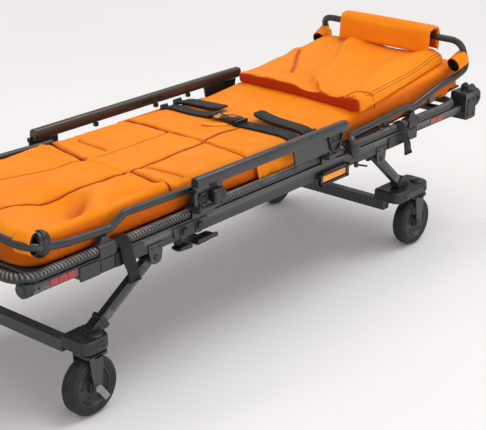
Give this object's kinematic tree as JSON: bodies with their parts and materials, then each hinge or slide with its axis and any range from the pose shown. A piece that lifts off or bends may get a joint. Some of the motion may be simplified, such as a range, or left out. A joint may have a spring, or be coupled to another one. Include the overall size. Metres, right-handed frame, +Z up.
{
  "type": "stretcher trolley",
  "caption": "Roll-in stretcher trolley with folding legs, swivel casters, side guards, tilting backrest, orange mattress and safety belt.",
  "frame": {"origin": "centre of the floor rectangle under the trolley, at floor level", "axes": "+X towards the head end, -Y the side called near, +Z up"},
  "size_m": [2.075, 0.694, 0.664],
  "materials": {
    "frame": "dark grey satin powder coat",
    "casting": "dark grey fine textured paint",
    "black_plastic": "moulded matte black nylon",
    "tyre": "grooved solid rubber",
    "hub": "dark grey glass filled nylon",
    "steel_lever": "satin steel",
    "deck": "dark sheet",
    "orange_cover": "coated orange cover cloth, welded and stitched",
    "webbing": "dark grey woven webbing"
  },
  "bodies": {
    "chassis": {"side_beam_near": "frame", "perimeter_rail_near": "frame", "head_block_near": "casting", "foot_leg_pivot_near": "casting", "head_leg_pivot_near": "casting", "foot_rail_post_near": "casting", "guard_hinge_foot_near": "casting", "guard_hinge_head_near": "casting", "backrest_pivot_near": "black_plastic", "backrest_rest_near": "casting", "side_beam_far": "frame", "perimeter_rail_far": "frame", "head_block_far": "casting", "foot_leg_pivot_far": "casting", "head_leg_pivot_far": "casting", "foot_rail_post_far": "casting", "guard_hinge_foot_far": "casting", "guard_hinge_head_far": "casting", "backrest_pivot_far": "black_plastic", "backrest_rest_far": "casting", "foot_cross_tube": "frame", "head_cross_tube": "frame", "foot_sleeve_bar": "black_plastic", "seat_deck": "deck", "foot_rail": "frame", "seat_mattress": "orange_cover", "safety_belt": "webbing"},
    "backrest": {"backrest_tube": "frame", "backrest_deck": "deck", "back_mattress": "orange_cover", "back_pad": "orange_cover", "head_roll": "orange_cover"},
    "release_pedal": {"release_pedal": "black_plastic"},
    "carry_handle": {"carry_handle": "black_plastic"},
    "foot_legs": {"foot_axle_beam": "frame", "foot_strut_near": "frame", "foot_strut_far": "frame"},
    "foot_caster_near": {"foot_fork_near": "casting"},
    "foot_wheel_near": {"foot_tyre_near": "tyre", "foot_hub_near": "hub"},
    "brake_near": {"brake_lever_near": "steel_lever"},
    "foot_caster_far": {"foot_fork_far": "casting"},
    "foot_wheel_far": {"foot_tyre_far": "tyre", "foot_hub_far": "hub"},
    "brake_far": {"brake_lever_far": "steel_lever"},
    "head_legs": {"head_axle_beam": "frame", "head_strut_near": "frame", "head_strut_far": "frame"},
    "head_caster_near": {"head_fork_near": "casting"},
    "head_wheel_near": {"head_tyre_near": "tyre", "head_hub_near": "hub"},
    "head_caster_far": {"head_fork_far": "casting"},
    "head_wheel_far": {"head_tyre_far": "tyre", "head_hub_far": "hub"},
    "guard_near": {"side_guard_near": "frame"},
    "guard_latch_near": {"guard_latch_knob_near": "black_plastic"},
    "loading_roller_near": {"loading_roller_near": "black_plastic"},
    "guard_far": {"side_guard_far": "frame"},
    "guard_latch_far": {"guard_latch_knob_far": "black_plastic"},
    "loading_roller_far": {"loading_roller_far": "black_plastic"}
  },
  "joints": [
    {"name": "backrest_tilt", "type": "hinge", "parent": "chassis", "child": "backrest", "pos_m": [0.252, 0, 0.424], "axis": [0, -1, 0], "range_deg": [0, 65]},
    {"name": "release_pedal_press", "type": "hinge", "parent": "chassis", "child": "release_pedal", "pos_m": [-0.468, -0.275, 0.357], "axis": [0, 1, 0], "range_deg": [0, 14], "stiffness_Nm_per_rad": 2},
    {"name": "carry_handle_pull", "type": "hinge", "parent": "chassis", "child": "carry_handle", "pos_m": [0.182, -0.2975, 0.3865], "axis": [1, 0, 0], "range_deg": [-35, 0], "stiffness_Nm_per_rad": 1},
    {"name": "foot_leg_fold", "type": "hinge", "parent": "chassis", "child": "foot_legs", "pos_m": [-0.57, 0, 0.345], "axis": [0, -1, 0], "range_deg": [0, 110]},
    {"name": "foot_swivel_near", "type": "hinge", "parent": "foot_legs", "child": "foot_caster_near", "pos_m": [-0.792, -0.286, 0.17], "axis": [0, 0, 1], "continuous": true},
    {"name": "foot_wheel_spin_near", "type": "hinge", "parent": "foot_caster_near", "child": "foot_wheel_near", "pos_m": [-0.814, -0.286, 0.08], "axis": [0, 1, 0], "continuous": true},
    {"name": "brake_lever_turn_near", "type": "hinge", "parent": "foot_caster_near", "child": "brake_near", "pos_m": [-0.814, -0.286, 0.08], "axis": [0, 1, 0], "range_deg": [-40, 0]},
    {"name": "foot_swivel_far", "type": "hinge", "parent": "foot_legs", "child": "foot_caster_far", "pos_m": [-0.792, 0.286, 0.17], "axis": [0, 0, 1], "continuous": true},
    {"name": "foot_wheel_spin_far", "type": "hinge", "parent": "foot_caster_far", "child": "foot_wheel_far", "pos_m": [-0.814, 0.286, 0.08], "axis": [0, 1, 0], "continuous": true},
    {"name": "brake_lever_turn_far", "type": "hinge", "parent": "foot_caster_far", "child": "brake_far", "pos_m": [-0.814, 0.286, 0.08], "axis": [0, 1, 0], "range_deg": [-40, 0]},
    {"name": "head_leg_fold", "type": "hinge", "parent": "chassis", "child": "head_legs", "pos_m": [0.437, 0, 0.345], "axis": [0, 1, 0], "range_deg": [0, 110]},
    {"name": "head_swivel_near", "type": "hinge", "parent": "head_legs", "child": "head_caster_near", "pos_m": [0.657, -0.286, 0.17], "axis": [0, 0, 1], "continuous": true},
    {"name": "head_wheel_spin_near", "type": "hinge", "parent": "head_caster_near", "child": "head_wheel_near", "pos_m": [0.635, -0.286, 0.08], "axis": [0, 1, 0], "continuous": true},
    {"name": "head_swivel_far", "type": "hinge", "parent": "head_legs", "child": "head_caster_far", "pos_m": [0.657, 0.286, 0.17], "axis": [0, 0, 1], "continuous": true},
    {"name": "head_wheel_spin_far", "type": "hinge", "parent": "head_caster_far", "child": "head_wheel_far", "pos_m": [0.635, 0.286, 0.08], "axis": [0, 1, 0], "continuous": true},
    {"name": "guard_fold_near", "type": "hinge", "parent": "chassis", "child": "guard_near", "pos_m": [0, -0.3215, 0.44], "axis": [1, 0, 0], "range_deg": [0, 150]},
    {"name": "guard_latch_pull_near", "type": "slide", "parent": "guard_near", "child": "guard_latch_near", "axis": [0, -1, 0], "range_m": [0, 0.008], "stiffness_N_per_m": 400},
    {"name": "loading_roller_spin_near", "type": "hinge", "parent": "chassis", "child": "loading_roller_near", "pos_m": [1.005, -0.281, 0.415], "axis": [0, 1, 0], "continuous": true},
    {"name": "guard_fold_far", "type": "hinge", "parent": "chassis", "child": "guard_far", "pos_m": [0, 0.3215, 0.44], "axis": [-1, 0, 0], "range_deg": [0, 150]},
    {"name": "guard_latch_pull_far", "type": "slide", "parent": "guard_far", "child": "guard_latch_far", "axis": [0, 1, 0], "range_m": [0, 0.008], "stiffness_N_per_m": 400},
    {"name": "loading_roller_spin_far", "type": "hinge", "parent": "chassis", "child": "loading_roller_far", "pos_m": [1.005, 0.281, 0.415], "axis": [0, 1, 0], "continuous": true}
  ]
}
